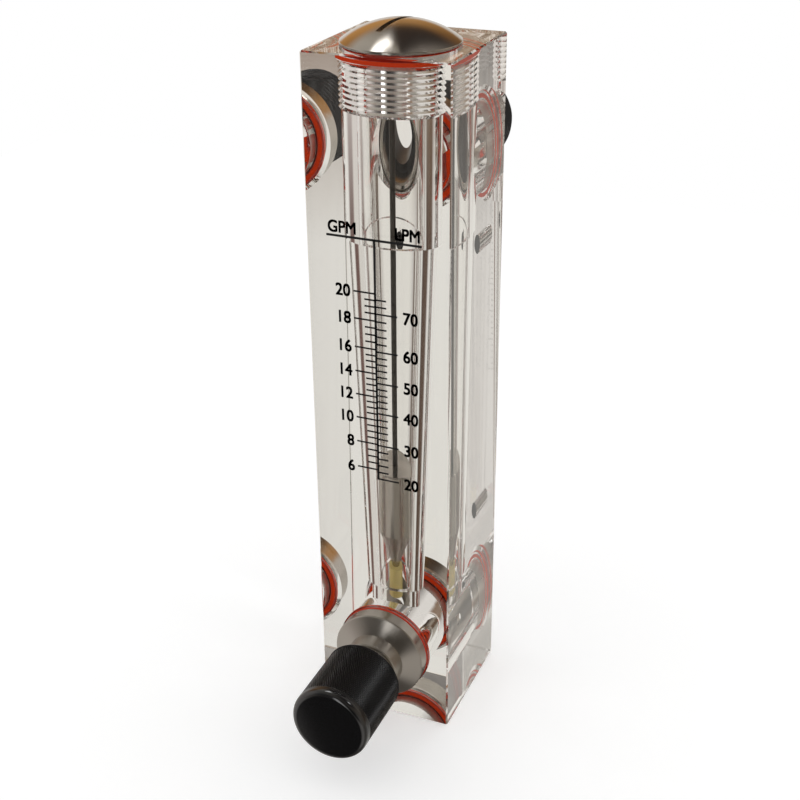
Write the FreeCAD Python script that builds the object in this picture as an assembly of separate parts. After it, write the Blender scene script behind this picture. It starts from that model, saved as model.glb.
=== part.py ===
"""Clear block variable-area flow meter with a needle valve, in millimetres.

The frame: +Z up, -Y towards the reader, origin at the centre of the block's bottom face.
"""
import FreeCAD
import Part
import math
import os

Vector = FreeCAD.Vector

# Block
BLOCK_WIDTH = 50.0
BLOCK_DEPTH = 49.0
BLOCK_HEIGHT = 244.5
EDGE_CHAMFER = 0.5
METER_SETBACK = 20.5            # front face to the metering axis
VALVE_HEIGHT = 28.6             # base to the axis of the valve and the inlet
OUTLET_DROP = 37.5              # top face to the outlet axis

# Metering passage
THROAT_RADIUS = 9.2
THROAT_TOP = 50.5               # base to the ledge where the taper starts
TAPER_START_RADIUS = 10.7
TAPER_END_RADIUS = 15.1
TAPER_LENGTH = 132.7
CHAMBER_RADIUS = 16.6
SOCKET_DEPTH = 19.2             # top face to the end of the plug's thread
THREAD_RADIUS = 17.5
THREAD_PITCH = 1.75
THREAD_DEPTH = 0.8
THREAD_RUNOUT = 0.25            # plain length between the thread and the ring's seat

# Seals: every flange stands off its face on a ring of rubber
SEAL_STANDOFF = 0.3
SEAT_SLACK = 0.05               # room round a ring in its seat
PLUG_RING_CORD = 3.6
PLUG_RING_RADIUS = 18.2
VALVE_RING_CORD = 3.0
VALVE_RING_RADIUS = 17.4
PORT_RING_CORD = 3.2
PORT_RING_RADIUS = 18.5
PORT_MOUTH_CHAMFER = 1.4

# Fits
THREAD_CLEARANCE = 0.12
PRESS_CLEARANCE = 0.02
RUNNING_CLEARANCE = 0.05

# Top plug
CAP_RADIUS = 19.3
CAP_RIM = 0.9
CAP_CROWN = 6.4                 # rise of the dome above its rim
SLOT_WIDTH = 2.0
SLOT_DEPTH = 2.2
SLOT_TURN = 13.5                # degrees from straight across
ROD_SOCKET = 6.0

# Guide rod, float and stop
ROD_RADIUS = 1.5
FLOAT_RADIUS = 10.2
FLOAT_BODY_LENGTH = 24.7
FLOAT_CONE_LENGTH = 17.5
FLOAT_TIP_RADIUS = 2.5
FLOAT_TIP_ROUND = 0.8
FLOAT_EDGE = 0.4
FLOAT_BORE_CLEARANCE = 0.1
FLOAT_REST_GAP = 0.02
STOP_RADIUS = 4.3
STOP_LENGTH = 11.3
STOP_DROP = 7.0                 # how far the stop hangs below the throat's ledge
STOP_FLOOR = 1.5                # closed end under the rod

# Valve chamber, bonnet and neck
CHAMBER_BORE_RADIUS = 16.4
BONNET_FLANGE_RADIUS = 17.0
BONNET_FLANGE_RIM = 5.0
BONNET_CONE = 2.6
BONNET_REACH = 10.0             # length of the threaded shank in the block
NECK_RADIUS = 10.6
NECK_LENGTH = 5.9
NECK_NOSE_RADIUS = 9.6
NECK_NOSE_LENGTH = 3.4
NECK_EDGE = 0.4

# Stem, valve plug and seat
STEM_RADIUS = 4.0
STEM_SCREW_RADIUS = 4.6
STEM_SCREW_LENGTH = 13.0
STEM_PITCH = 1.5
STEM_TURNS_TO_CLOSE = 3
STEM_TAIL_RADIUS = 3.0
STEM_HEAD_RADIUS = 4.0
STEM_HEAD_LENGTH = 1.6
STEM_RING_CORD = 1.8
STEM_RING_SPACING = 3.4
STEM_RING_COUNT = 2
PLUG_RADIUS = 7.4
PLUG_LENGTH = 8.0
PLUG_LIP = 1.6
PLUG_CAVITY_SLACK = 0.25
PLUG_EDGE = 0.8
PLUG_SEAL_CORD = 1.8
PLUG_SEAL_PROUD = 0.4
SEAT_TO_FITTING = 0.9           # room between the seat and the inlet fitting's shank
SEAT_HOLE_RADIUS = 5.6
SEAT_LEAD = 0.8

# Knob
KNOB_RADIUS = 14.1
KNOB_LENGTH = 28.9
KNOB_GAP = 3.0                  # neck end to the floor of the recess when the valve is shut
KNOB_RECESS_DEPTH = 6.0
KNOB_RECESS_CLEARANCE = 0.7
KNOB_NOSE_ROUND = 1.6
KNOB_HEEL_CHAMFER = 0.5
KNOB_GRIP_ON_STEM = 15.0
SET_SCREW_RADIUS = 2.0
SET_SCREW_SINK = 0.6
SET_SCREW_HEX = 1.0

# Rear ports and their fittings
PORT_RADIUS = 15.5
INLET_PORT_DEPTH = 16.5         # back face to the valve seat
FITTING_BORE_RADIUS = 12.5
FITTING_REACH = 10.0            # length of the shank in the block
FITTING_FLANGE_RADIUS = 18.9
FITTING_FLANGE_LENGTH = 8.0
FITTING_EDGE = 0.8
PIPE_RADIUS = 16.7              # outside of a one-inch pipe thread
PIPE_ENGAGEMENT = 6.0
NIPPLE_PROJECTION = 25.5        # flange to the nipple's end
NIPPLE_BORE_RADIUS = 9.4
NIPPLE_THROAT_LENGTH = 12.0
NIPPLE_EDGE = 1.2
NIPPLE_RELIEF_DEPTH = 0.7       # run-out groove where the pipe thread ends at the flange
NIPPLE_RELIEF_WIDTH = 1.2

# Mounting inserts in the back face
INSERT_RADIUS = 3.5
INSERT_LENGTH = 6.0
INSERT_HOLE_RADIUS = 2.5
INSERT_SPACING = 106.0
INSERT_LOW = 67.5               # base to the lower insert's axis

# Places worked out from the sizes above
FRONT_FACE = -BLOCK_DEPTH / 2
BACK_FACE = BLOCK_DEPTH / 2
METER_Y = FRONT_FACE + METER_SETBACK
OUTLET_HEIGHT = BLOCK_HEIGHT - OUTLET_DROP
TAPER_TOP = THROAT_TOP + TAPER_LENGTH
SOCKET_FLOOR = BLOCK_HEIGHT - SOCKET_DEPTH
THREAD_TURNS = int(round((SOCKET_DEPTH - PLUG_RING_CORD) / THREAD_PITCH))
CAP_UNDERSIDE = BLOCK_HEIGHT + SEAL_STANDOFF
STOP_BOTTOM = THROAT_TOP - STOP_DROP
STOP_TOP = STOP_BOTTOM + STOP_LENGTH
FLOAT_BOTTOM = STOP_TOP + FLOAT_REST_GAP
CLOSING_TRAVEL = STEM_PITCH * STEM_TURNS_TO_CLOSE
SEAT_FACE = BLOCK_DEPTH - INLET_PORT_DEPTH
SEAT_BACK = BLOCK_DEPTH - FITTING_REACH - SEAT_TO_FITTING
SEAL_TIP = SEAT_FACE - CLOSING_TRAVEL - RUNNING_CLEARANCE
PLUG_FACE = SEAL_TIP - PLUG_SEAL_PROUD
PLUG_CAVITY_RADIUS = STEM_HEAD_RADIUS + PLUG_CAVITY_SLACK
BONNET_FRONT = SEAL_STANDOFF + BONNET_FLANGE_RIM
NECK_START = BONNET_FRONT + BONNET_CONE
NECK_STEP = NECK_START + NECK_LENGTH
NECK_END = NECK_STEP + NECK_NOSE_LENGTH
KNOB_FLOOR = NECK_END + CLOSING_TRAVEL + KNOB_GAP
KNOB_HEEL = KNOB_FLOOR - KNOB_RECESS_DEPTH
STEM_END = KNOB_FLOOR + KNOB_GRIP_ON_STEM

UP = Vector(0, 0, 1)
FORWARD = Vector(0, -1, 0)
REARWARD = Vector(0, 1, 0)


def turned(profile, base, direction):
    """Revolve (radius, height) points; a pair of points is an arc: through the first, to the second."""
    edges = []
    here = Vector(profile[0][0], 0, profile[0][1])
    for step in profile[1:] + profile[:1]:
        if isinstance(step[0], tuple):
            middle = Vector(step[0][0], 0, step[0][1])
            there = Vector(step[1][0], 0, step[1][1])
            edges.append(Part.Arc(here, middle, there).toShape())
        else:
            there = Vector(step[0], 0, step[1])
            edges.append(Part.makeLine(here, there))
        here = there
    solid = Part.Face(Part.Wire(edges)).revolve(Vector(0, 0, 0), UP, 360)
    solid.Placement = FreeCAD.Placement(base, FreeCAD.Rotation(UP, direction))
    return solid


def arc_to(start, end, bulge):
    """Arc step from start to end, bowed outwards from the chord by bulge."""
    run, rise = end[0] - start[0], end[1] - start[1]
    chord = math.hypot(run, rise)
    middle = ((start[0] + end[0]) / 2 + bulge * rise / chord,
              (start[1] + end[1]) / 2 - bulge * run / chord)
    return (middle, end)


def ring(outer_radius, cord, base, direction, height):
    """Rubber ring of the given outer radius and cord, centred at a height along its axis."""
    centre = base + direction * height
    return Part.makeTorus(outer_radius - cord / 2, cord / 2, centre, direction)


def thread_profile(crest, root, first, last):
    """Points of a ridged flank between two heights, root first, one ridge to each turn."""
    points = [(root, first)]
    pitch = (last - first) / THREAD_TURNS
    for turn in range(THREAD_TURNS):
        start = first + turn * pitch
        points += [(crest, start + pitch / 2), (root, start + pitch)]
    return points


def front_point():
    return Vector(0, FRONT_FACE, VALVE_HEIGHT)


def back_point(height):
    return Vector(0, BACK_FACE, height)


def metering_passage():
    """The passage from the throat above the valve to the plug's socket, as a solid to cut."""
    counterbore = PLUG_RING_RADIUS + SEAT_SLACK
    seat_floor = BLOCK_HEIGHT - (PLUG_RING_CORD - SEAL_STANDOFF + SEAT_SLACK)
    thread_top = seat_floor - THREAD_RUNOUT
    profile = [(0, VALVE_HEIGHT), (THROAT_RADIUS, VALVE_HEIGHT), (THROAT_RADIUS, THROAT_TOP),
               (TAPER_START_RADIUS, THROAT_TOP), (TAPER_END_RADIUS, TAPER_TOP),
               (CHAMBER_RADIUS, TAPER_TOP), (CHAMBER_RADIUS, SOCKET_FLOOR)]
    profile += thread_profile(THREAD_RADIUS, THREAD_RADIUS - THREAD_DEPTH, SOCKET_FLOOR, thread_top)
    profile += [(THREAD_RADIUS - THREAD_DEPTH, seat_floor), (counterbore, seat_floor),
                (counterbore, BLOCK_HEIGHT + 1), (0, BLOCK_HEIGHT + 1)]
    return turned(profile, Vector(0, METER_Y, 0), UP)


def valve_chamber():
    """The bore behind the valve bonnet, with the mouth that its ring sits in."""
    mouth = VALVE_RING_RADIUS + SEAT_SLACK
    mouth_depth = VALVE_RING_CORD - SEAL_STANDOFF + SEAT_SLACK
    profile = [(0, -1), (mouth, -1), (mouth, mouth_depth), (CHAMBER_BORE_RADIUS, mouth_depth),
               (CHAMBER_BORE_RADIUS, SEAT_FACE), (0, SEAT_FACE)]
    return turned(profile, front_point(), REARWARD)


def rear_port(height, depth):
    """A port bored into the back face, with a flared mouth for its ring."""
    mouth = PORT_RING_RADIUS + SEAT_SLACK
    mouth_depth = PORT_RING_CORD - SEAL_STANDOFF + SEAT_SLACK
    flare = mouth + PORT_MOUTH_CHAMFER
    profile = [(0, -1), (flare, -1), (flare, 0), (mouth, PORT_MOUTH_CHAMFER), (mouth, mouth_depth),
               (PORT_RADIUS, mouth_depth), (PORT_RADIUS, depth), (0, depth)]
    return turned(profile, back_point(height), FORWARD)


def insert_heights():
    return [INSERT_LOW, INSERT_LOW + INSERT_SPACING]


def body_block():
    corner = Vector(-BLOCK_WIDTH / 2, FRONT_FACE, 0)
    block = Part.makeBox(BLOCK_WIDTH, BLOCK_DEPTH, BLOCK_HEIGHT, corner)
    block = block.makeChamfer(EDGE_CHAMFER, block.Edges)
    outlet_depth = BACK_FACE - METER_Y
    cuts = [metering_passage(), valve_chamber(),
            rear_port(OUTLET_HEIGHT, outlet_depth), rear_port(VALVE_HEIGHT, INLET_PORT_DEPTH)]
    for height in insert_heights():
        hole = INSERT_RADIUS + PRESS_CLEARANCE
        cuts.append(Part.makeCylinder(hole, INSERT_LENGTH, back_point(height), FORWARD))
    return block.cut(cuts)


def top_plug():
    """Domed cap with a screwdriver slot, and the threaded shank that carries the guide rod."""
    rim_top = CAP_UNDERSIDE + CAP_RIM
    neck = PLUG_RING_RADIUS - PLUG_RING_CORD - SEAT_SLACK
    crest = THREAD_RADIUS - THREAD_CLEARANCE
    root = crest - THREAD_DEPTH
    shank_top = BLOCK_HEIGHT - PLUG_RING_CORD + SEAL_STANDOFF - THREAD_RUNOUT
    socket_top = SOCKET_FLOOR + ROD_SOCKET
    hole = ROD_RADIUS + PRESS_CLEARANCE
    profile = [(0, socket_top), (hole, socket_top), (hole, SOCKET_FLOOR)]
    profile += thread_profile(crest, root, SOCKET_FLOOR, shank_top)
    profile += [(neck, shank_top), (neck, CAP_UNDERSIDE), (CAP_RADIUS - CAP_RIM / 4, CAP_UNDERSIDE),
                (CAP_RADIUS, CAP_UNDERSIDE + CAP_RIM / 4), (CAP_RADIUS, rim_top - CAP_RIM / 4)]
    sphere = (CAP_RADIUS ** 2 + CAP_CROWN ** 2) / (2 * CAP_CROWN)
    half = math.asin(CAP_RADIUS / sphere) / 2
    middle = (sphere * math.sin(half), rim_top + CAP_CROWN - sphere * (1 - math.cos(half)))
    profile.append((CAP_RADIUS - CAP_RIM / 8, rim_top))
    profile.append((middle, (0, rim_top + CAP_CROWN)))
    plug = turned(profile, Vector(0, METER_Y, 0), UP)
    return plug.cut(screwdriver_slot(rim_top + CAP_CROWN))


def screwdriver_slot(apex):
    """The slot's floor is level, so it runs out where the dome falls below it."""
    slot = Part.makeBox(SLOT_WIDTH, 2 * CAP_RADIUS, SLOT_DEPTH + 1, Vector(-SLOT_WIDTH / 2, -CAP_RADIUS, 0))
    turn = FreeCAD.Rotation(UP, -SLOT_TURN)
    slot.Placement = FreeCAD.Placement(Vector(0, METER_Y, apex - SLOT_DEPTH), turn)
    return slot


def top_plug_o_ring():
    middle = CAP_UNDERSIDE - PLUG_RING_CORD / 2
    return ring(PLUG_RING_RADIUS, PLUG_RING_CORD, Vector(0, METER_Y, 0), UP, middle)


def guide_rod():
    bottom = STOP_BOTTOM + STOP_FLOOR
    length = SOCKET_FLOOR + ROD_SOCKET - bottom
    return Part.makeCylinder(ROD_RADIUS, length, Vector(0, METER_Y, bottom), UP)


def float_stop():
    """Sleeve on the lower end of the rod, closed under it, that the float comes down on."""
    bore = ROD_RADIUS + PRESS_CLEARANCE
    profile = [(0, 0), (STOP_RADIUS, 0), (STOP_RADIUS, STOP_LENGTH), (bore, STOP_LENGTH),
               (bore, STOP_FLOOR), (0, STOP_FLOOR)]
    return turned(profile, Vector(0, METER_Y, STOP_BOTTOM), UP)


def metering_float():
    """Plumb-bob float: sharp upper edge to read, long barrel, and a cone down to a rounded tip."""
    bore = ROD_RADIUS + FLOAT_BORE_CLEARANCE
    cone_top = FLOAT_CONE_LENGTH
    top = cone_top + FLOAT_BODY_LENGTH
    tip = FLOAT_TIP_RADIUS
    profile = [(bore, 0), (tip - FLOAT_TIP_ROUND, 0),
               arc_to((tip - FLOAT_TIP_ROUND, 0), (tip, FLOAT_TIP_ROUND), FLOAT_TIP_ROUND * 0.29),
               (FLOAT_RADIUS, cone_top), (FLOAT_RADIUS, top - FLOAT_EDGE),
               (FLOAT_RADIUS - FLOAT_EDGE, top), (bore, top)]
    return turned(profile, Vector(0, METER_Y, FLOAT_BOTTOM), UP)


def valve_bonnet():
    """Threaded shank, flange with a coned face, and the stepped neck that guides the stem."""
    shank = CHAMBER_BORE_RADIUS - THREAD_CLEARANCE
    neck_under_ring = VALVE_RING_RADIUS - VALVE_RING_CORD - SEAT_SLACK
    ring_depth = VALVE_RING_CORD - SEAL_STANDOFF + SEAT_SLACK
    guide = STEM_RADIUS + RUNNING_CLEARANCE
    screw = STEM_SCREW_RADIUS + RUNNING_CLEARANCE
    edge = NECK_EDGE
    profile = [(screw, -BONNET_REACH), (shank - edge, -BONNET_REACH), (shank, edge - BONNET_REACH),
               (shank, -ring_depth), (neck_under_ring, -ring_depth), (neck_under_ring, SEAL_STANDOFF),
               (BONNET_FLANGE_RADIUS - edge, SEAL_STANDOFF), (BONNET_FLANGE_RADIUS, SEAL_STANDOFF + edge),
               (BONNET_FLANGE_RADIUS, BONNET_FRONT - edge), (BONNET_FLANGE_RADIUS - edge, BONNET_FRONT),
               (NECK_RADIUS, NECK_START), (NECK_RADIUS, NECK_STEP - edge), (NECK_RADIUS - edge, NECK_STEP),
               (NECK_NOSE_RADIUS, NECK_STEP), (NECK_NOSE_RADIUS, NECK_END - edge),
               (NECK_NOSE_RADIUS - edge, NECK_END), (guide, NECK_END), (guide, BONNET_FRONT),
               (screw, BONNET_FRONT)]
    return turned(profile, front_point(), FORWARD)


def valve_bonnet_o_ring():
    return ring(VALVE_RING_RADIUS, VALVE_RING_CORD, front_point(), FORWARD,
                SEAL_STANDOFF - VALVE_RING_CORD / 2)


def stem_ring_places():
    """Distances in front of the block's face of the rings that seal the stem in the neck."""
    middle = (BONNET_FRONT + NECK_END) / 2
    first = middle - STEM_RING_SPACING * (STEM_RING_COUNT - 1) / 2
    return [first + STEM_RING_SPACING * count for count in range(STEM_RING_COUNT)]


def valve_stem():
    """Spindle: grip for the knob, ring grooves, lifting screw, tail and the head crimped in the plug."""
    groove_half = STEM_RING_CORD / 2 + SEAT_SLACK
    groove_floor = STEM_RADIUS - STEM_RING_CORD - SEAT_SLACK
    screw_front = BONNET_FRONT - CLOSING_TRAVEL
    head_front, head_back = plug_head_span()
    profile = [(0, STEM_END), (STEM_RADIUS, STEM_END)]
    for place in reversed(stem_ring_places()):
        profile += [(STEM_RADIUS, place + groove_half), (groove_floor, place + groove_half),
                    (groove_floor, place - groove_half), (STEM_RADIUS, place - groove_half)]
    profile += [(STEM_RADIUS, screw_front), (STEM_SCREW_RADIUS, screw_front),
                (STEM_SCREW_RADIUS, screw_front - STEM_SCREW_LENGTH),
                (STEM_TAIL_RADIUS, screw_front - STEM_SCREW_LENGTH),
                (STEM_TAIL_RADIUS, -head_front), (STEM_HEAD_RADIUS, -head_front),
                (STEM_HEAD_RADIUS, -head_back), (0, -head_back)]
    return turned(profile, front_point(), FORWARD)


def plug_head_span():
    """Depths behind the front face of the two ends of the stem's head, inside the valve plug."""
    cavity_front = PLUG_FACE - PLUG_LENGTH + PLUG_LIP
    head_front = cavity_front + RUNNING_CLEARANCE
    return head_front, head_front + STEM_HEAD_LENGTH


def stem_o_rings():
    rings = [ring(STEM_RADIUS, STEM_RING_CORD, front_point(), FORWARD, place)
             for place in stem_ring_places()]
    return Part.makeCompound(rings)


def valve_plug():
    """Disc that closes on the seat, with a lip crimped behind the stem's head so it can swivel."""
    back = PLUG_FACE - PLUG_LENGTH
    cavity_front, cavity_back = back + PLUG_LIP, plug_head_span()[1] + RUNNING_CLEARANCE
    lip_bore = STEM_TAIL_RADIUS + RUNNING_CLEARANCE
    groove_outer = PLUG_RADIUS - PLUG_EDGE
    groove_inner = groove_outer - PLUG_SEAL_CORD - SEAT_SLACK
    groove_floor = SEAL_TIP - PLUG_SEAL_CORD - SEAT_SLACK
    profile = [(0, PLUG_FACE), (groove_inner, PLUG_FACE), (groove_inner, groove_floor),
               (groove_outer, groove_floor), (groove_outer, PLUG_FACE), (PLUG_RADIUS, PLUG_FACE - PLUG_EDGE),
               (PLUG_RADIUS, back + PLUG_EDGE), (PLUG_RADIUS - PLUG_EDGE, back), (lip_bore, back),
               (lip_bore, cavity_front), (PLUG_CAVITY_RADIUS, cavity_front),
               (PLUG_CAVITY_RADIUS, cavity_back), (0, cavity_back)]
    return turned(profile, front_point(), REARWARD)


def valve_plug_seal():
    outer = PLUG_RADIUS - PLUG_EDGE - SEAT_SLACK / 2
    return ring(outer, PLUG_SEAL_CORD, front_point(), REARWARD, SEAL_TIP - PLUG_SEAL_CORD / 2)


def valve_seat():
    """Ring in the front end of the inlet port; its hole is rounded towards the inlet."""
    outer = PORT_RADIUS - PRESS_CLEARANCE
    profile = [(SEAT_HOLE_RADIUS, SEAT_FACE), (outer, SEAT_FACE), (outer, SEAT_BACK),
               (SEAT_HOLE_RADIUS + SEAT_LEAD, SEAT_BACK), (SEAT_HOLE_RADIUS, SEAT_BACK - SEAT_LEAD)]
    return turned(profile, front_point(), REARWARD)


def knob():
    """Plain barrel with a rounded nose and a recess that swallows the neck as the valve closes."""
    recess = NECK_NOSE_RADIUS + KNOB_RECESS_CLEARANCE
    bore = STEM_RADIUS + PRESS_CLEARANCE
    bore_end = STEM_END + KNOB_GAP / 2
    nose = KNOB_HEEL + KNOB_LENGTH
    rounding = KNOB_NOSE_ROUND
    heel = KNOB_HEEL_CHAMFER
    profile = [(recess, KNOB_HEEL), (KNOB_RADIUS - heel, KNOB_HEEL), (KNOB_RADIUS, KNOB_HEEL + heel),
               (KNOB_RADIUS, nose - rounding),
               arc_to((KNOB_RADIUS, nose - rounding), (KNOB_RADIUS - rounding, nose), rounding * 0.29),
               (0, nose), (0, bore_end), (bore, bore_end), (bore, KNOB_FLOOR), (recess, KNOB_FLOOR)]
    barrel = turned(profile, front_point(), FORWARD)
    hole = Part.makeCylinder(SET_SCREW_RADIUS + PRESS_CLEARANCE, KNOB_RADIUS, set_screw_base(), -UP)
    return barrel.cut(hole)


def set_screw_base():
    """On the stem's axis, midway along the knob's grip."""
    return Vector(0, FRONT_FACE - (KNOB_FLOOR + STEM_END) / 2, VALVE_HEIGHT)


def knob_set_screw():
    """Headless screw from the stem's flank outwards, with its socket sunk in the outer end."""
    start = STEM_RADIUS + PRESS_CLEARANCE
    end = KNOB_RADIUS - SET_SCREW_SINK
    hex_depth = 2 * SET_SCREW_HEX
    screw = turned([(0, start), (SET_SCREW_RADIUS, start), (SET_SCREW_RADIUS, end), (0, end)],
                   set_screw_base(), -UP)
    floor = set_screw_base() - UP * (end - hex_depth)
    corners = [floor + Vector(math.cos(math.radians(60 * side)), math.sin(math.radians(60 * side)), 0)
               * SET_SCREW_HEX for side in range(7)]
    socket = Part.Face(Part.makePolygon(corners)).extrude(-UP * (hex_depth + 1))
    return screw.cut(socket)


def port_fitting(height):
    """Shank in the port, flange behind the face, and a pipe socket open to the rear."""
    shank = PORT_RADIUS - THREAD_CLEARANCE
    neck = PORT_RING_RADIUS - PORT_RING_CORD - SEAT_SLACK
    ring_depth = PORT_RING_CORD - SEAL_STANDOFF + SEAT_SLACK
    flange_end = SEAL_STANDOFF + FITTING_FLANGE_LENGTH
    socket_floor = flange_end - PIPE_ENGAGEMENT
    edge = FITTING_EDGE
    profile = [(FITTING_BORE_RADIUS + edge, -FITTING_REACH), (shank - edge, -FITTING_REACH),
               (shank, edge - FITTING_REACH), (shank, -ring_depth), (neck, -ring_depth),
               (neck, SEAL_STANDOFF), (FITTING_FLANGE_RADIUS - edge, SEAL_STANDOFF),
               (FITTING_FLANGE_RADIUS, SEAL_STANDOFF + edge), (FITTING_FLANGE_RADIUS, flange_end - edge),
               (FITTING_FLANGE_RADIUS - edge, flange_end), (PIPE_RADIUS + THREAD_CLEARANCE, flange_end),
               (PIPE_RADIUS + THREAD_CLEARANCE, socket_floor), (FITTING_BORE_RADIUS, socket_floor),
               (FITTING_BORE_RADIUS, edge - FITTING_REACH)]
    return turned(profile, back_point(height), REARWARD)


def port_o_ring(height):
    return ring(PORT_RING_RADIUS, PORT_RING_CORD, back_point(height), REARWARD,
                SEAL_STANDOFF - PORT_RING_CORD / 2)


def outlet_nipple():
    """Pipe nipple screwed into the outlet fitting; its bore opens out towards the pipe."""
    flange_end = SEAL_STANDOFF + FITTING_FLANGE_LENGTH
    start = flange_end - PIPE_ENGAGEMENT + SEAT_SLACK
    end = flange_end + NIPPLE_PROJECTION
    edge = NIPPLE_EDGE
    flare_start = start + NIPPLE_THROAT_LENGTH
    relief = PIPE_RADIUS - NIPPLE_RELIEF_DEPTH
    relief_end = flange_end + NIPPLE_RELIEF_WIDTH
    profile = [(NIPPLE_BORE_RADIUS, start), (PIPE_RADIUS - edge, start), (PIPE_RADIUS, start + edge),
               (PIPE_RADIUS, flange_end), (relief, flange_end), (relief, relief_end),
               (PIPE_RADIUS, relief_end), (PIPE_RADIUS, end - edge), (PIPE_RADIUS - edge, end),
               (FITTING_BORE_RADIUS, end),
               (FITTING_BORE_RADIUS, flare_start + FITTING_BORE_RADIUS - NIPPLE_BORE_RADIUS),
               (NIPPLE_BORE_RADIUS, flare_start)]
    return turned(profile, back_point(OUTLET_HEIGHT), REARWARD)


def mounting_insert(height):
    """Threaded bush flush with the back face, blind at its inner end."""
    end = INSERT_LENGTH
    lead = INSERT_HOLE_RADIUS + 0.5
    profile = [(lead, 0), (INSERT_RADIUS, 0), (INSERT_RADIUS, end), (0, end), (0, end - 1),
               (INSERT_HOLE_RADIUS, end - 1), (INSERT_HOLE_RADIUS, 0.5)]
    return turned(profile, back_point(height), FORWARD)


def pieces():
    low, high = insert_heights()
    return {
        "body_block": body_block(),
        "top_plug": top_plug(),
        "top_plug_o_ring": top_plug_o_ring(),
        "guide_rod": guide_rod(),
        "float_stop": float_stop(),
        "metering_float": metering_float(),
        "valve_bonnet": valve_bonnet(),
        "valve_bonnet_o_ring": valve_bonnet_o_ring(),
        "valve_stem": valve_stem(),
        "stem_o_rings": stem_o_rings(),
        "valve_plug": valve_plug(),
        "valve_plug_seal": valve_plug_seal(),
        "valve_seat": valve_seat(),
        "knob": knob(),
        "knob_set_screw": knob_set_screw(),
        "inlet_fitting": port_fitting(VALVE_HEIGHT),
        "inlet_o_ring": port_o_ring(VALVE_HEIGHT),
        "outlet_fitting": port_fitting(OUTLET_HEIGHT),
        "outlet_o_ring": port_o_ring(OUTLET_HEIGHT),
        "outlet_nipple": outlet_nipple(),
        "lower_mounting_insert": mounting_insert(low),
        "upper_mounting_insert": mounting_insert(high),
    }


os.makedirs("parts", exist_ok=True)
for name, shape in pieces().items():
    shape.exportStep("parts/" + name + ".step")
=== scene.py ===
"""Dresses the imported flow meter: a clear acrylic block with steel fittings and a knurled valve knob.

Lengths are in metres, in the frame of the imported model: +Z up, -Y towards the reader.
"""

import math

import bmesh
import bpy
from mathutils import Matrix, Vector


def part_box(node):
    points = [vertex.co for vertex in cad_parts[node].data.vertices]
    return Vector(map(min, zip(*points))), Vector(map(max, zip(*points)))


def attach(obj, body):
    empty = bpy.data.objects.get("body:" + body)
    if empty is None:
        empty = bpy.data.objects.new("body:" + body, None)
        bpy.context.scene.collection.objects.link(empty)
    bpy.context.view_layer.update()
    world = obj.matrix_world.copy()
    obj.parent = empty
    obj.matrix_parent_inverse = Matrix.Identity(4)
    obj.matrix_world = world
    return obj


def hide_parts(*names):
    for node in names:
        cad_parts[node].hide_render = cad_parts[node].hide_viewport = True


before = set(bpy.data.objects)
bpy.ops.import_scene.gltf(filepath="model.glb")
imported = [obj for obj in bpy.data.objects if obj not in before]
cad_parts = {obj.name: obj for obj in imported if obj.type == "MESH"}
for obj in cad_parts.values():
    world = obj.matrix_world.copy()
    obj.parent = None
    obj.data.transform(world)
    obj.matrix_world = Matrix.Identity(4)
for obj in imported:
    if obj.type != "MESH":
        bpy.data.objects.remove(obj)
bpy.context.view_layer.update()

# ---------------------------------------------------------------------------------------------
# Body block
# Cast acrylic, sawn to a bar and milled, then bored and tapped from the top, front and back.
# Every face and bore is polished clear, so the block shows what is in it by refraction.
MM = 0.001
acrylic_index = 1.49


def linear(hex_colour):
    """Scene-linear RGBA of an sRGB colour such as "#C23A22"."""
    channels = [int(hex_colour[start:start + 2], 16) / 255 for start in (1, 3, 5)]
    return [c / 12.92 if c <= 0.04045 else ((c + 0.055) / 1.055) ** 2.4 for c in channels] + [1.0]


def add_node(tree, kind, settings=None, links=None):
    """Adds a node with its properties and input values, and links its inputs from other outputs."""
    node = tree.nodes.new(kind)
    for name, value in (settings or {}).items():
        if isinstance(name, int) or name in node.inputs:
            node.inputs[name].default_value = value
        else:
            setattr(node, name, value)
    for name, source in (links or {}).items():
        tree.links.new(source, node.inputs[name])
    return node


def finish(name, colour, roughness, **sockets):
    """A material whose shader has this colour, roughness and other socket values."""
    made = bpy.data.materials.new(name)
    made.use_nodes = True
    shader = made.node_tree.nodes["Principled BSDF"]
    shader.inputs["Base Color"].default_value = linear(colour)
    shader.inputs["Roughness"].default_value = roughness
    for socket, value in sockets.items():
        shader.inputs[socket.replace("_", " ")].default_value = value
    return made


def add_object(name, data):
    """A new object of the scene that shows this data."""
    made = bpy.data.objects.new(name, data)
    bpy.context.scene.collection.objects.link(made)
    return made


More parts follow.
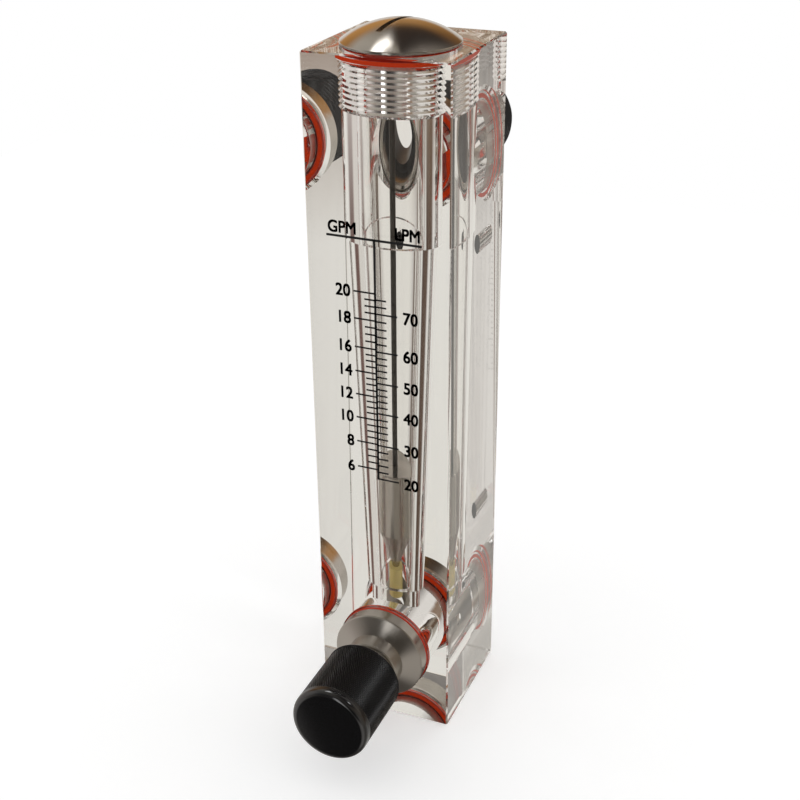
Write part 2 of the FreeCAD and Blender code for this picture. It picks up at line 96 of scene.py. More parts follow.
def turned(name, profile, base, axis, segments=192, relief=None, coats=None):
    """Solid of revolution of (radius, height) points; relief(turn, radius, height) thins it.

    coats gives the material slot of each strip between one point and the next.
    """
    along = Vector(axis).normalized()
    across = Vector((1, 0, 0))
    third = along.cross(across)
    work = bmesh.new()
    rows = []
    for radius, height in profile:
        middle = Vector(base) + along * height
        if radius == 0:
            rows.append([work.verts.new(middle)])
            continue
        row = []
        for step in range(segments):
            turn = step / segments
            reach = radius - (relief(turn, radius, height) if relief else 0)
            angle = 2 * math.pi * turn
            outward = across * math.cos(angle) + third * math.sin(angle)
            row.append(work.verts.new(middle + reach * outward))
        rows.append(row)
    is_ring = profile[0][0] > 0 and profile[-1][0] > 0
    pairs = list(zip(rows, rows[1:])) + ([(rows[-1], rows[0])] if is_ring else [])
    for strip, (lower, upper) in enumerate(pairs):
        for step in range(segments):
            after = (step + 1) % segments
            corners = [lower[step % len(lower)], lower[after % len(lower)],
                       upper[after % len(upper)], upper[step % len(upper)]]
            face = work.faces.new(list(dict.fromkeys(corners)))
            face.material_index = coats[strip] if coats else 0
    bmesh.ops.recalc_face_normals(work, faces=work.faces)
    mesh = bpy.data.meshes.new(name)
    work.to_mesh(mesh)
    work.free()
    return add_object(name, mesh)


def smooth(piece):
    """Smooth shading that breaks at the machined edges."""
    piece.data.shade_smooth()
    piece.data.set_sharp_from_angle(angle=math.radians(30))


def dress(piece, *finishes):
    """Gives a piece its materials and smooth shading; the material slots of its faces stay."""
    if piece.data.materials:
        piece.data.materials.clear()
    for made in finishes:
        piece.data.materials.append(made)
    smooth(piece)
    return piece


def cut(piece, *cutters):
    """Takes the cutters out of a piece; the new faces keep the cutters' materials."""
    for cutter in cutters:
        change = piece.modifiers.new(cutter.name, "BOOLEAN")
        change.operation = "DIFFERENCE"
        change.solver = "EXACT"
        change.material_mode = "TRANSFER"
        change.object = cutter
    graph = bpy.context.evaluated_depsgraph_get()
    mesh = bpy.data.meshes.new_from_object(piece.evaluated_get(graph))
    piece.modifiers.clear()
    piece.data = mesh
    for cutter in cutters:
        bpy.data.objects.remove(cutter)
    smooth(piece)


# Polished cast acrylic: water-clear, with the sharp reflections of a flame-polished surface.
polished_acrylic = finish("polished_acrylic", "#FCFBF9", 0.0, IOR=acrylic_index, Transmission_Weight=1.0)
# Reamed acrylic: clear, and a touch duller than the polished faces.
reamed_acrylic = finish("reamed_acrylic", "#FCFBF9", 0.02, IOR=acrylic_index, Transmission_Weight=1.0)
# Silicone rubber squeezed onto the acrylic: its full orange-red, as no air lies between them.
pressed_rubber = finish("pressed_rubber", "#F04A20", 0.45, Specular_IOR_Level=0.0)
# Painted shade: the same rubber's red, darkened where it curls away from the wall.
painted_shade_rubber = finish("painted_shade_rubber", "#9A1C08", 0.45, Specular_IOR_Level=0.0)

block_low, block_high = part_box("body_block")
block_size = block_high - block_low
edge_chamfer = 0.5 * MM
plug_low, plug_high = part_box("top_plug")
meter_axis = Vector(((plug_low.x + plug_high.x) / 2, (plug_low.y + plug_high.y) / 2, 0))
bonnet_low, bonnet_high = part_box("valve_bonnet")
valve_height = (bonnet_low.z + bonnet_high.z) / 2
front_centre = Vector((0, block_low.y, valve_height))
outlet_low, outlet_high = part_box("outlet_fitting")
outlet_height = (outlet_low.z + outlet_high.z) / 2
upward, forward, backward = Vector((0, 0, 1)), Vector((0, -1, 0)), Vector((0, 1, 0))

work = bmesh.new()
bmesh.ops.create_cube(work, size=1)
bmesh.ops.scale(work, vec=block_size, verts=work.verts)
bmesh.ops.translate(work, vec=(block_low + block_high) / 2, verts=work.verts)
bmesh.ops.bevel(work, geom=work.edges[:], offset=edge_chamfer, offset_type="OFFSET", segments=1,
                affect="EDGES")
block_mesh = bpy.data.meshes.new("clear_block")
work.to_mesh(block_mesh)
work.free()
block = add_object("clear_block", block_mesh)
block.data.materials.append(polished_acrylic)

throat_radius = 9.2 * MM
throat_top = 50.5 * MM
taper_start_radius = 10.7 * MM
taper_end_radius = 15.1 * MM
taper_top = 183.2 * MM
chamber_radius = 16.6 * MM
thread_crest = 17.5 * MM
thread_root = 16.7 * MM
thread_runout = 0.25 * MM
ridge_count = 9
valve_bore_radius = 16.4 * MM
port_radius = 15.5 * MM
port_flare = 1.4 * MM
plug_seat_radius = 18.25 * MM
bonnet_seat_radius = 17.45 * MM
port_seat_radius = 18.55 * MM
hole_slack = 0.02 * MM
past = 1 * MM                     # how far a cutter runs out beyond the face that it opens
seat_slack = 0.05 * MM
plug_ring_low, plug_ring_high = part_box("top_plug_o_ring")
plug_ring_cord = plug_ring_high.z - plug_ring_low.z
seal_standoff = plug_ring_high.z - block_high.z


def ring_seat(name, cord, radius, mouth, inward):
    """Counterbore for a rubber ring, coated red where the rubber is pressed on its wall and floor, and a
    darker red of painted shade where it curls away from the wall.
    """
    depth = cord - seal_standoff + seat_slack
    middle, contact = radius - cord / 2, 0.24 * cord
    # Coat 1 is the pressed rubber's red; coat 2 on the upper wall is the same red darkened as painted shade.
    strips = [((0, -past), 0), ((radius, -past), 0), ((radius, 0.08 * depth), 2), ((radius, 0.5 * depth), 0),
              ((radius, 0.55 * depth), 1), ((radius, 0.94 * depth), 0), ((radius, depth), 0),
              ((middle + contact, depth), 1), ((middle - contact, depth), 0), ((0, depth), 0)]
    seat = turned(name, [point for point, coat in strips], mouth, inward,
                  coats=[coat for point, coat in strips])
    return dress(seat, polished_acrylic, pressed_rubber, painted_shade_rubber)


socket_floor = plug_low.z
seat_floor = plug_ring_low.z - seat_slack
thread_top = seat_floor - thread_runout
passage = [(0, valve_height), (throat_radius, valve_height), (throat_radius, throat_top),
           (taper_start_radius, throat_top), (taper_end_radius, taper_top), (chamber_radius, taper_top),
           (chamber_radius, socket_floor), (thread_root, socket_floor)]
ridge_pitch = (thread_top - socket_floor) / ridge_count
for ridge in range(ridge_count):
    ridge_start = socket_floor + ridge * ridge_pitch
    passage += [(thread_crest, ridge_start + ridge_pitch / 2), (thread_root, ridge_start + ridge_pitch)]
passage += [(thread_root, block_high.z + past), (0, block_high.z + past)]
meter_bore = dress(turned("meter_bore", passage, meter_axis, upward), polished_acrylic)
plug_seat = ring_seat("plug_seat", plug_ring_cord, plug_seat_radius, meter_axis + upward * block_high.z,
                      -upward)

seat_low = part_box("valve_seat")[0]
valve_bore_depth = seat_low.y - block_low.y
valve_bore = dress(turned("valve_bore", [(0, -past), (valve_bore_radius, -past),
                                         (valve_bore_radius, valve_bore_depth), (0, valve_bore_depth)],
                          front_centre, backward), polished_acrylic)
bonnet_ring_low, bonnet_ring_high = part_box("valve_bonnet_o_ring")
bonnet_ring_cord = bonnet_ring_high.y - bonnet_ring_low.y
bonnet_seat = ring_seat("bonnet_seat", bonnet_ring_cord, bonnet_seat_radius, front_centre, backward)

port_ring_low, port_ring_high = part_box("outlet_o_ring")
port_ring_cord = port_ring_high.y - port_ring_low.y
shank_depth = block_high.y - outlet_low.y
# The look of a stainless thread sealed into the acrylic, put on the port's wall along the shank:
# bright steel, as no air lies between.
sealed_steel = finish("sealed_steel", "#CFCBC4", 0.35, Metallic=1.0)
port_cutters = []
for height, depth in ((outlet_height, block_high.y - meter_axis.y),
                      (valve_height, block_high.y - seat_low.y + past)):
    mouth = Vector((0, block_high.y, height))
    bore = turned("port_bore", [(0, -past), (port_radius, -past), (port_radius, shank_depth),
                                (port_radius, depth), (0, depth)], mouth, forward, coats=[0, 1, 0, 0])
    seat = ring_seat("port_seat", port_ring_cord, port_seat_radius, mouth, forward)
    flare = turned("port_flare", [(0, -past), (port_seat_radius + port_flare + past, -past),
                                  (port_seat_radius, port_flare), (0, port_flare)], mouth, forward)
    port_cutters += [dress(bore, reamed_acrylic, sealed_steel), seat, dress(flare, polished_acrylic)]

insert_cutters = []
for node in ("lower_mounting_insert", "upper_mounting_insert"):
    insert_low, insert_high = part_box(node)
    insert_radius = insert_high.x + hole_slack
    insert_depth = insert_high.y - insert_low.y
    mouth = Vector((0, block_high.y, (insert_low.z + insert_high.z) / 2))
    hole = turned("insert_hole", [(0, -past), (insert_radius, -past), (insert_radius, insert_depth),
                                  (0, insert_depth)], mouth, forward, segments=64)
    insert_cutters.append(dress(hole, reamed_acrylic))

cut(block, meter_bore, plug_seat, valve_bore, bonnet_seat, *port_cutters, *insert_cutters)
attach(block, "meter_body")
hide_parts("body_block")

# ---------------------------------------------------------------------------------------------
# Printed scale
# Screen-printed black enamel on the front face: a double scale with gallons per minute on the
# left and litres per minute on the right of one line, which is set a little left of centre.
# Screen ink: dense black with the slight gloss of enamel.
screen_ink = finish("screen_ink", "#0C0C0D", 0.38)

scale_line = -1.05 * MM
ink_thickness = 0.03 * MM
ink_front = block_low.y - ink_thickness
line_width = 0.8 * MM
mark_width = 0.6 * MM
long_mark = 7.7 * MM
short_mark = 3.85 * MM
letter_height = 4.0 * MM
digit_height = 4.25 * MM
narrowing = 0.9                   # of the font's width, for a condensed face
capital_share = 0.72              # of the font's size, that its capitals stand
ink_spread = 0.15 * MM
left_gap = 1.1 * MM
right_gap = 1.9 * MM
header_height = 186.8 * MM
header_ends = (-17.8 * MM, 15.2 * MM)
header_gap = 1.2 * MM
unit_starts = {"GPM": -17.3 * MM, "LPM": 5.9 * MM}
litres_per_gallon = 3.785
# Height in mm of the printed marks by their flow in litres per minute, as measured in the photograph.
# 80 lies past the last mark and only carries the spacing on.
calibration = {20: 100.0, 30: 113.1, 40: 125.3, 50: 136.6, 60: 148.1, 70: 161.6, 80: 173.9}


def flow_height(litres):
    """Height on the scale of a flow in litres per minute, between the calibrated ones."""
    below = min(int(litres // 10) * 10, 70)
    share = (litres - below) / 10
    return (calibration[below] * (1 - share) + calibration[below + 10] * share) * MM


scale_work = bmesh.new()


def print_bar(left, right, bottom, top):
    """A printed rectangle on the front face."""
    made = bmesh.ops.create_cube(scale_work, size=1)["verts"]
    bmesh.ops.scale(scale_work, vec=(right - left, ink_thickness, top - bottom), verts=made)
    middle = Vector(((left + right) / 2, ink_front + ink_thickness / 2, (bottom + top) / 2))
    bmesh.ops.translate(scale_work, vec=middle, verts=made)


def print_mark(flow, reach):
    """A mark of the given reach beside the scale line; a negative reach goes left."""
    height = flow_height(flow)
    ends = sorted((scale_line, scale_line + reach))
    print_bar(ends[0], ends[1], height - mark_width / 2, height + mark_width / 2)


def print_words(words, x, bottom, height, align):
    """Condensed bold letters of the given height that start or end at x."""
    curve = bpy.data.curves.new("words", "FONT")
    curve.body = words
    curve.size = height / capital_share
    curve.align_x = align
    curve.extrude = ink_thickness / 2
    text = add_object("words", curve)
    graph = bpy.context.evaluated_depsgraph_get()
    mesh = bpy.data.meshes.new_from_object(text.evaluated_get(graph))
    shapes = [vertex.co.copy() for vertex in mesh.vertices]
    # A light face printed nine times, a hair apart, makes the bold one.
    for shift_x in (-ink_spread, 0, ink_spread):
        for shift_z in (-ink_spread, 0, ink_spread):
            for vertex, flat in zip(mesh.vertices, shapes):
                vertex.co = (x + flat.x * narrowing + shift_x, ink_front + ink_thickness / 2 - flat.z,
                             bottom + flat.y + shift_z)
            scale_work.from_mesh(mesh)
    bpy.data.objects.remove(text)


print_bar(header_ends[0], header_ends[1], header_height - line_width / 2, header_height + line_width / 2)
print_bar(scale_line - line_width / 2, scale_line + line_width / 2,
          flow_height(20) - mark_width / 2, header_height)
for gallons in range(6, 21, 2):
    flow = gallons * litres_per_gallon
    print_mark(flow, -long_mark)
    print_words(str(gallons), scale_line - long_mark - left_gap, flow_height(flow) - digit_height / 2,
                digit_height, "RIGHT")
    if gallons < 20:
        for half_gallons in (1, 2, 3):
            print_mark(flow + half_gallons * litres_per_gallon / 2, -short_mark)
for litres in range(20, 71, 10):
    print_mark(litres, long_mark)
    print_words(str(litres), scale_line + long_mark + right_gap, flow_height(litres) - digit_height / 2,
                digit_height, "LEFT")
for litres in range(22, 75, 2):
    if litres % 10:
        print_mark(litres, short_mark)
for unit, start in unit_starts.items():
    print_words(unit, start, header_height + header_gap, letter_height, "LEFT")
scale_mesh = bpy.data.meshes.new("printed_scale")
scale_work.to_mesh(scale_mesh)
scale_work.free()
printed_scale = add_object("printed_scale", scale_mesh)
printed_scale.data.materials.append(screen_ink)
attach(printed_scale, "meter_body")

# ---------------------------------------------------------------------------------------------
# Top plug and its ring
# Stainless bar, turned in one piece: a domed cap with a screwdriver slot over a ringed shank.
# The cap's dome and rim keep the lathe's fine rings, and the ring below it seals the socket.
steel_tone = "#B7B1A9"
cap_roughness = 0.17
shank_roughness = 0.5
lathe_feed = 0.35 * MM            # between one turning ring and the next
lathe_depth = 0.004 * MM


def axial_place(tree, centre, axis):
    """Outputs of the distance from a line through centre and of the place along it, in metres."""
    place = add_node(tree, "ShaderNodeTexCoord").outputs["Object"]
    moved = add_node(tree, "ShaderNodeVectorMath", {"operation": "SUBTRACT", 1: centre}, {0: place})
    along = add_node(tree, "ShaderNodeVectorMath", {"operation": "DOT_PRODUCT", 1: axis},
                     {0: moved.outputs[0]})
    whole = add_node(tree, "ShaderNodeVectorMath", {"operation": "LENGTH"}, {0: moved.outputs[0]})
    whole_squared = add_node(tree, "ShaderNodeMath", {"operation": "POWER", 1: 2.0},
                             {0: whole.outputs["Value"]})
    along_squared = add_node(tree, "ShaderNodeMath", {"operation": "POWER", 1: 2.0},
                             {0: along.outputs["Value"]})
    across_squared = add_node(tree, "ShaderNodeMath", {"operation": "SUBTRACT"},
                              {0: whole_squared.outputs[0], 1: along_squared.outputs[0]})
    across = add_node(tree, "ShaderNodeMath", {"operation": "SQRT"}, {0: across_squared.outputs[0]})
    return across.outputs[0], along.outputs["Value"]


def add_turning_lines(made, centre, axis):
    """Bumps the fine rings that a lathe tool leaves round an axis."""
    tree = made.node_tree
    across, along = axial_place(tree, centre, axis)
    flat = add_node(tree, "ShaderNodeCombineXYZ", links={"X": across, "Y": along})
    rings = add_node(tree, "ShaderNodeTexNoise",
                     {"Scale": 0.5 / lathe_feed, "Detail": 3.0, "Roughness": 0.65},
                     {"Vector": flat.outputs[0]})
    bump = add_node(tree, "ShaderNodeBump", {"Strength": 1.0, "Distance": lathe_depth},
                    {"Height": rings.outputs[0]})
    tree.links.new(bump.outputs[0], tree.nodes["Principled BSDF"].inputs["Normal"])


def turned_steel(name, centre, axis, roughness=cap_roughness):
    """Turned stainless: grey, with rings that stretch each highlight into a band across them."""
    made = finish(name, steel_tone, roughness, Metallic=1.0, Anisotropic=0.9, Anisotropic_Rotation=0.25)
    tree = made.node_tree
    letter = "XYZ"[[abs(part) for part in axis].index(1)]
    tangent = add_node(tree, "ShaderNodeTangent", {"direction_type": "RADIAL", "axis": letter})
    tree.links.new(tangent.outputs[0], tree.nodes["Principled BSDF"].inputs["Tangent"])
    add_turning_lines(made, centre, axis)
    return made


cap_steel = turned_steel("cap_steel", meter_axis, upward)
# The shank's thread is left matt by its die, and is painted a paler tone than the cap's steel as painted
# light.
cap_tree = cap_steel.node_tree
cap_place = add_node(cap_tree, "ShaderNodeSeparateXYZ",
                     links={0: add_node(cap_tree, "ShaderNodeTexCoord").outputs["Object"]})
on_cap = add_node(cap_tree, "ShaderNodeMapRange",
                  {"From Min": block_high.z - 0.1 * MM, "From Max": block_high.z},
                  {"Value": cap_place.outputs["Z"]})
# Below the block's top the steel gets a paler tone as painted light.
cap_and_painted_thread_tone = add_node(cap_tree, "ShaderNodeMixRGB",
                    {"Color1": linear("#EEECE8"), "Color2": linear(steel_tone)}, {"Fac": on_cap.outputs[0]})
cap_gloss = add_node(cap_tree, "ShaderNodeMapRange", {"To Min": shank_roughness, "To Max": cap_roughness},
                     {"Value": on_cap.outputs[0]})
cap_shader = cap_tree.nodes["Principled BSDF"]
cap_tree.links.new(cap_and_painted_thread_tone.outputs[0], cap_shader.inputs["Base Color"])
cap_tree.links.new(cap_gloss.outputs[0], cap_shader.inputs["Roughness"])
dress(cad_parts["top_plug"], cap_steel)

# Moulded silicone: an even red-orange with a soft sheen.
silicone = finish("silicone", "#C8391F", 0.42, IOR=1.41, Specular_IOR_Level=0.5)
for node in ("top_plug_o_ring", "valve_bonnet_o_ring", "inlet_o_ring", "outlet_o_ring"):
    dress(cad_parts[node], silicone)

# ---------------------------------------------------------------------------------------------
# Guide rod, float and stop
# Drawn steel rod, a plumb-bob float turned from bar that slides on it, and a moulded sleeve
# pressed on its end that the float comes down on.
# Drawn steel: dark grey, with a soft sheen.
drawn_steel = finish("drawn_steel", "#4A4743", 0.3, Metallic=1.0)
dress(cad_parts["guide_rod"], drawn_steel)
float_steel = turned_steel("float_steel", meter_axis, upward, roughness=0.2)
dress(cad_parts["metering_float"], float_steel)
# Moulded nylon: a translucent straw yellow with a satin surface.
straw_nylon = finish("straw_nylon", "#FFF0A8", 0.5, IOR=1.53, Transmission_Weight=0.45)
dress(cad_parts["float_stop"], straw_nylon)

# ---------------------------------------------------------------------------------------------
# Valve bonnet, stem, plug and seat
# Stainless turnings on the valve's axis; the bonnet screws into the block and guides the stem.
valve_axis = Vector((0, 0, valve_height))
valve_steel = turned_steel("valve_steel", valve_axis, backward, roughness=0.3)
for node in ("valve_bonnet", "valve_stem", "valve_plug"):
    dress(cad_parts[node], valve_steel)
# Moulded nitrile: matt black.
nitrile = finish("nitrile", "#161514", 0.55, IOR=1.52)
for node in ("stem_o_rings", "valve_plug_seal"):
    dress(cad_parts[node], nitrile)
dress(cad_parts["valve_seat"], valve_steel)

# ---------------------------------------------------------------------------------------------
# Knob and its set screw
# Aluminium bar, knurled in a diamond pattern, with a turned end face, anodised black. A headless
# screw from below grips the stem.
# Black anodising: near-black and glassy where the bar was turned smooth.
turned_black = finish("turned_black", "#08080A", 0.12, IOR=1.77)
# The same on the knurl, whose rolled flanks are rougher.
knurled_black = finish("knurled_black", "#0A0A0C", 0.3, IOR=1.5)
knob_low, knob_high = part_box("knob")
knob_radius = knob_high.x
knob_nose = block_low.y - knob_low.y
knob_heel = block_low.y - knob_high.y
knob_recess_radius = 10.3 * MM
knob_recess_depth = 6 * MM
knob_rounding = 2.2 * MM
knob_smooth_rim = 1.2 * MM
heel_chamfer = 0.5 * MM
knurl_depth = 0.45 * MM
knurl_count = 100
knurl_lean = math.radians(30)
knurl_pitch = 2 * math.pi * knob_radius / knurl_count
row_step = knurl_pitch / math.tan(knurl_lean) / 4
knurl_start = knob_heel + heel_chamfer
knurl_rows = int((knob_nose - knob_rounding - knob_smooth_rim - knurl_start) / row_step)


def ridge(phase):
    """Height from 0 in a groove to 1 on a ridge, as a saw of equal flanks."""
    return 1 - abs(2 * (phase % 1) - 1)


def knurl(turn, radius, height):
    """How deep the diamond knurl lies below the knob's radius at a place on its side."""
    row = round((height - knurl_start) / row_step)
    if radius < knob_radius or not 0 < row < knurl_rows:
        return 0
    along = row / 4
    left, right = turn * knurl_count + along, turn * knurl_count - along
    return knurl_depth * (1 - min(ridge(left), ridge(right)))


knob_profile = [(0, knob_heel + knob_recess_depth), (knob_recess_radius, knob_heel + knob_recess_depth),
                (knob_recess_radius, knob_heel), (knob_radius - heel_chamfer, knob_heel)]
knob_profile += [(knob_radius, knurl_start + row * row_step) for row in range(knurl_rows + 1)]
rounding_steps = 8
for step in range(rounding_steps + 1):
    angle = math.pi / 2 * step / rounding_steps
    knob_profile.append((knob_radius - knob_rounding * (1 - math.cos(angle)),
                         knob_nose - knob_rounding * (1 - math.sin(angle))))
knob_profile.append((0, knob_nose))
is_knurled = [radius == knob_radius for radius, height in knob_profile]
knob = turned("knurled_knob", knob_profile, front_centre, forward, segments=4 * knurl_count, relief=knurl,
              coats=[0 if here and there else 1 for here, there in zip(is_knurled, is_knurled[1:])])
dress(knob, knurled_black, turned_black)
screw_low, screw_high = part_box("knob_set_screw")
screw_radius = (screw_high.x - screw_low.x) / 2 + hole_slack
screw_axis = Vector((0, (screw_low.y + screw_high.y) / 2, valve_height))
screw_hole = turned("screw_hole", [(0, 0), (screw_radius, 0), (screw_radius, knob_radius + past),
                                   (0, knob_radius + past)], screw_axis, -upward, segments=48)
cut(knob, dress(screw_hole, turned_black))
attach(knob, "knob_and_stem")
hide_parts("knob")
# Black oxide: the dull black of a small alloy screw.
black_oxide = finish("black_oxide", "#1D1C1B", 0.45, Metallic=1.0)
dress(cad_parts["knob_set_screw"], black_oxide)

# ---------------------------------------------------------------------------------------------
# Rear fittings, outlet nipple and mounting inserts
# Stainless fittings screwed into the ports, a black polypropylene pipe nipple in the upper one,
# and two threaded bushes for the panel's screws.
port_steel = turned_steel("port_steel", Vector((0, 0, outlet_height)), backward)
dress(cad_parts["outlet_fitting"], port_steel)
lower_port_steel = turned_steel("lower_port_steel", valve_axis, backward)
dress(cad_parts["inlet_fitting"], lower_port_steel)

# Moulded polypropylene: black, with a waxy sheen.
polypropylene = finish("polypropylene", "#1B1A1C", 0.4, IOR=1.49)
nipple_low, nipple_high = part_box("outlet_nipple")
nipple_radius = nipple_high.x
pipe_pitch = 2.21 * MM
pipe_thread_depth = 1.1 * MM
nipple_length = nipple_high.y - nipple_low.y
nipple_edge = 1.2 * MM
nipple_bore = 9.4 * MM
nipple_mouth = 12.5 * MM
bore_cone = (12 * MM, 15.1 * MM)  # where the bore widens to the mouth
rows_per_pitch = 8


def pipe_thread(turn, radius, height):
    """Depth below the crest of the helical pipe thread."""
    if radius < nipple_radius - nipple_edge / 2 or not nipple_edge < height < nipple_length - nipple_edge:
        return 0
    return pipe_thread_depth * (1 - ridge(height / pipe_pitch - turn))


nipple_profile = [(nipple_bore, 0), (nipple_radius - nipple_edge, 0)]
nipple_rows = int(nipple_length / (pipe_pitch / rows_per_pitch))
for row in range(nipple_rows + 1):
    height = nipple_length * row / nipple_rows
    if nipple_edge <= height <= nipple_length - nipple_edge:
        nipple_profile.append((nipple_radius, height))
nipple_profile += [(nipple_radius - nipple_edge, nipple_length), (nipple_mouth, nipple_length),
                   (nipple_mouth, bore_cone[1]), (nipple_bore, bore_cone[0])]
nipple = turned("threaded_nipple", nipple_profile, Vector((0, nipple_low.y, outlet_height)), backward,
                segments=128, relief=pipe_thread)
dress(nipple, polypropylene)
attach(nipple, "meter_body")
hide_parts("outlet_nipple")

for node in ("lower_mounting_insert", "upper_mounting_insert"):
    insert_low, insert_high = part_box(node)
    insert_axis = Vector((0, 0, (insert_low.z + insert_high.z) / 2))
    dress(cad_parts[node], turned_steel(node + "_steel", insert_axis, backward))

# ---------------------------------------------------------------------------------------------
# Floor, light and camera
# A plain white sheet under the object, in a studio whose walls are pale behind and darker to the
# sides and front, which is what gives clear plastic and steel their dark lines.
floor_reach = 0.6
floor_height = -0.1 * MM          # clear of the block, so its base keeps its own mirror of air
floor_mesh = bpy.data.meshes.new("floor")
floor_mesh.from_pydata([(-floor_reach, -floor_reach, floor_height), (floor_reach, -floor_reach, floor_height),
                        (floor_reach, floor_reach, floor_height), (-floor_reach, floor_reach, floor_height)],
                       [], [(0, 1, 2, 3)])
floor = add_object("floor", floor_mesh)
paper = bpy.data.materials.new("white_paper")
paper.use_nodes = True
paper_tree = paper.node_tree
paper_tree.nodes.clear()
rays = add_node(paper_tree, "ShaderNodeLightPath")
sheet = add_node(paper_tree, "ShaderNodeBsdfDiffuse", {"Color": linear("#E8E8E8")})
glow = add_node(paper_tree, "ShaderNodeEmission", {"Color": (1, 1, 1, 1), "Strength": 0.35})
lit_sheet = add_node(paper_tree, "ShaderNodeAddShader", links={0: sheet.outputs[0], 1: glow.outputs[0]})
seen_sheet = add_node(paper_tree, "ShaderNodeMixShader", links={
    "Fac": rays.outputs["Is Camera Ray"], 1: sheet.outputs[0], 2: lit_sheet.outputs[0]})
# Mirrored and transmitted rays pass the sheet and see the room's low tones instead.
mirrored = add_node(paper_tree, "ShaderNodeMath", {"operation": "MAXIMUM"}, {
    0: rays.outputs["Is Glossy Ray"], 1: rays.outputs["Is Transmission Ray"]})
open_floor = add_node(paper_tree, "ShaderNodeBsdfTransparent")
paper_face = add_node(paper_tree, "ShaderNodeMixShader", links={
    "Fac": mirrored.outputs[0], 1: seen_sheet.outputs[0], 2: open_floor.outputs[0]})
add_node(paper_tree, "ShaderNodeOutputMaterial", links={"Surface": paper_face.outputs[0]})
floor.data.materials.append(paper)

world = bpy.data.worlds.new("studio")
bpy.context.scene.world = world
world.use_nodes = True
sky = world.node_tree
sky.nodes.clear()
direction = add_node(sky, "ShaderNodeTexCoord").outputs["Generated"]
parts = add_node(sky, "ShaderNodeSeparateXYZ", links={0: direction})


def sky_math(operation, *sources):
    """The output of one sum on other outputs."""
    return add_node(sky, "ShaderNodeMath", {"operation": operation}, dict(enumerate(sources))).outputs[0]


def sky_mix(share, first, second):
    """The first tone where the share is nought, and the second where it is one."""
    return add_node(sky, "ShaderNodeMixRGB",
                    links={"Fac": share, "Color1": first, "Color2": second}).outputs[0]


turn_degrees = sky_math("DEGREES", sky_math("ARCTAN2", parts.outputs["X"], parts.outputs["Y"]))
rise_degrees = sky_math("DEGREES", sky_math("ARCSINE", parts.outputs["Z"]))


def walls(tones):
    """Wall tones by their turn in degrees from straight behind the object, to its right."""
    share = add_node(sky, "ShaderNodeMapRange", {"From Min": -180.0, "From Max": 180.0},
                     {"Value": turn_degrees})
    node = add_node(sky, "ShaderNodeValToRGB", links={"Fac": share.outputs[0]})
    stops = node.color_ramp.elements
    for degrees, tone in tones.items():
        place = (degrees + 180) / 360
        stop = stops.new(place) if 0 < place < 1 else stops[int(place) * (len(stops) - 1)]
        stop.color = linear(tone)
    return node.outputs[0]


def above(lower, upper, start, end):
    """The lower tones up to an elevation of start degrees, and the upper ones from end degrees."""
    share = add_node(sky, "ShaderNodeMapRange", {"From Min": start, "From Max": end}, {"Value": rise_degrees})
    return sky_mix(share.outputs[0], lower, upper)


# Fitted to what the photograph's plastic and steel reflect. Low down, a pale sweep with a
# dark brown band on either side, which the bore bends into upright lines. Rays that go through the
# block see low_walls and plain_walls; rays that a surface mirrors see low_mirrored and wood_walls.
table_edge = walls({-180: "#6C6864", 180: "#6C6864"})
low_walls = walls({
    -180: "#D0CCC8", -125: "#D8D4CE", -95: "#D4D0C8", -87: "#6E544E", -67: "#6A544E",
    -58: "#D8D4CE", -50: "#E6E4DE", 25: "#E3E1DB", 36: "#C8C4C0", 45: "#5C4A3E", 73: "#54443A",
    80: "#E0DFDA", 93: "#D0CCC4", 108: "#8E8A82", 125: "#A8A49C", 160: "#A4A098", 180: "#D0CCC8"})
low_mirrored = walls({
    -180: "#55514D", -172: "#3C3A38", -148: "#3C3A38", -136: "#E0DCD8", -60: "#D8D4CE", 25: "#E3E1DB",
    100: "#8E8A82", 125: "#C0BCB6", 140: "#E4E0DA", 165: "#C8C4C0", 180: "#55514D"})
level_walls = walls({
    -180: "#F6F4EE", -173: "#F6F4EE", -166: "#4A4644", -150: "#6A6560", -135: "#A8A29C", -120: "#D8D0CD",
    -80: "#D8D0CC", -60: "#D8D2CE", -45: "#F2EEEA", -20: "#E8E2DA", 0: "#E6E2DC", 12: "#E0D8CE",
    25: "#8C7666", 60: "#86725F", 80: "#A89E90", 130: "#B0AAA2", 150: "#3A3836", 172: "#26241F",
    180: "#F6F4EE"})
# Above eye level: warm wooden fittings behind, and a plain wall to the left.
wood_walls = walls({
    -180: "#5A5652", -140: "#616060", -115: "#DCD8D3", -85: "#D8D0CC", -70: "#A37849", -40: "#D9A160",
    -20: "#CE9C60", 0: "#8A6236", 18: "#5A4A40", 30: "#C8C0B8", 45: "#C0B4A4", 75: "#B0A596", 110: "#A49A8C",
    150: "#7A7268", 180: "#5A5652"})
plain_walls = walls({-180: "#DCD8D3", 180: "#DCD8D3"})
# Overhead: a dark ceiling behind, and a paler one to the sides.
ceiling = walls({
    -180: "#8A847C", -120: "#A8A69E", -95: "#B7B4AE", -60: "#D7D2CA", -45: "#B8B2A8", -30: "#3C322C",
    12: "#2E2622", 28: "#7D7670", 45: "#B8B4AC", 65: "#A69C9B", 80: "#5A5450", 120: "#4A4642",
    180: "#8A847C"})
sky_rays = add_node(sky, "ShaderNodeLightPath")
through = sky_rays.outputs["Is Transmission Ray"]
low = sky_mix(through, low_mirrored, low_walls)
high = sky_mix(through, wood_walls, plain_walls)
room = above(above(above(above(table_edge, low, -72.0, -58.0), level_walls, -20.0, -10.0),
                   high, 7.0, 14.0), ceiling, 28.0, 42.0)


def span(degrees, start, end):
    """One where an angle lies between start and end, falling to nothing two degrees outside them."""
    off = add_node(sky, "ShaderNodeMath", {"operation": "SUBTRACT", 1: (start + end) / 2}, {0: degrees})
    half = (end - start) / 2
    return add_node(sky, "ShaderNodeMapRange", {"From Min": half + 2.0, "From Max": half},
                    {"Value": sky_math("ABSOLUTE", off.outputs[0])}).outputs[0]


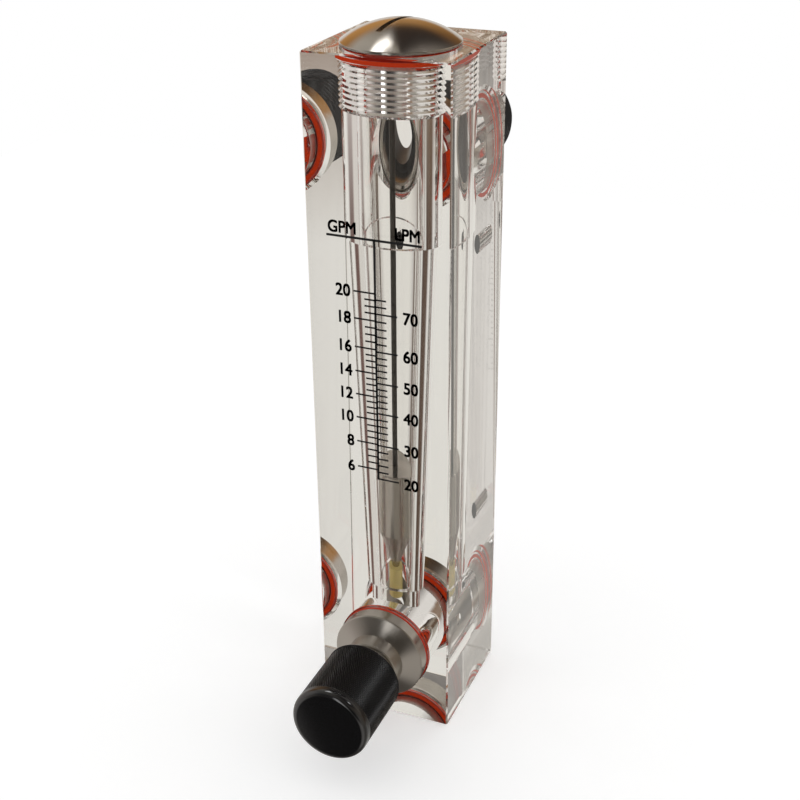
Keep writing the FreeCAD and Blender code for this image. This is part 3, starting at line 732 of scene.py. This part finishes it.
def with_lamp(room, turns, rises, strength):
    """Adds a soft lamp to the room's tones, between two turns and two elevations in degrees."""
    face = sky_math("MULTIPLY", span(turn_degrees, *turns), span(rise_degrees, *rises))
    return add_node(sky, "ShaderNodeMixRGB", {"Color2": (strength, strength, strength, 1)},
                    {"Fac": face, "Color1": room}).outputs[0]


# A strip lamp high on the left, a spot on the right, and a lit edge straight in front. Only mirrored
# and transmitted rays see the room and its lamps; all other light is one plain white.
room = with_lamp(room, (-90.0, -44.0), (62.0, 72.0), 4.5)
room = with_lamp(room, (92.0, 102.0), (50.0, 56.0), 8.0)
room = with_lamp(room, (-178.0, -170.0), (-10.0, 22.0), 2.2)
plain_light = add_node(sky, "ShaderNodeBackground", {"Color": (1, 1, 1, 1), "Strength": 0.85})
studio = add_node(sky, "ShaderNodeBackground", {"Strength": 1.0}, {"Color": room})
white_wall = add_node(sky, "ShaderNodeBackground", {"Color": (1, 1, 1, 1), "Strength": 1.0})
sharp_rays = sky_math("MAXIMUM", sky_rays.outputs["Is Glossy Ray"], through)
lit = add_node(sky, "ShaderNodeMixShader", links={
    "Fac": sharp_rays, 1: plain_light.outputs[0], 2: studio.outputs[0]})
seen = add_node(sky, "ShaderNodeMixShader", links={
    "Fac": sky_rays.outputs["Is Camera Ray"], 1: lit.outputs[0], 2: white_wall.outputs[0]})
add_node(sky, "ShaderNodeOutputWorld", links={"Surface": seen.outputs[0]})

camera_data = bpy.data.cameras.new("camera")
camera_data.lens = 60.77
camera_data.sensor_width = 36
camera = add_object("camera", camera_data)
camera_turn, camera_tilt, camera_roll = math.radians(-23.289), math.radians(-26.661), math.radians(-0.577)
sight = Vector((math.sin(camera_turn) * math.cos(camera_tilt), math.cos(camera_turn) * math.cos(camera_tilt),
                math.sin(camera_tilt)))
camera.location = (0.165755, -0.392580, 0.333183)
camera.rotation_mode = "QUATERNION"
camera.rotation_quaternion = sight.to_track_quat("-Z", "Y")
camera.rotation_mode = "XYZ"
camera.rotation_euler.rotate_axis("Z", camera_roll)
bpy.context.scene.camera = camera
bpy.context.scene.view_settings.view_transform = "Standard"
# Light in clear plastic is turned back many times before it leaves, and stays sharp.
light_paths = bpy.context.scene.cycles
light_paths.blur_glossy = 0.0
light_paths.max_bounces = 32
light_paths.transmission_bounces = 32
light_paths.glossy_bounces = 12
light_paths.diffuse_bounces = 3
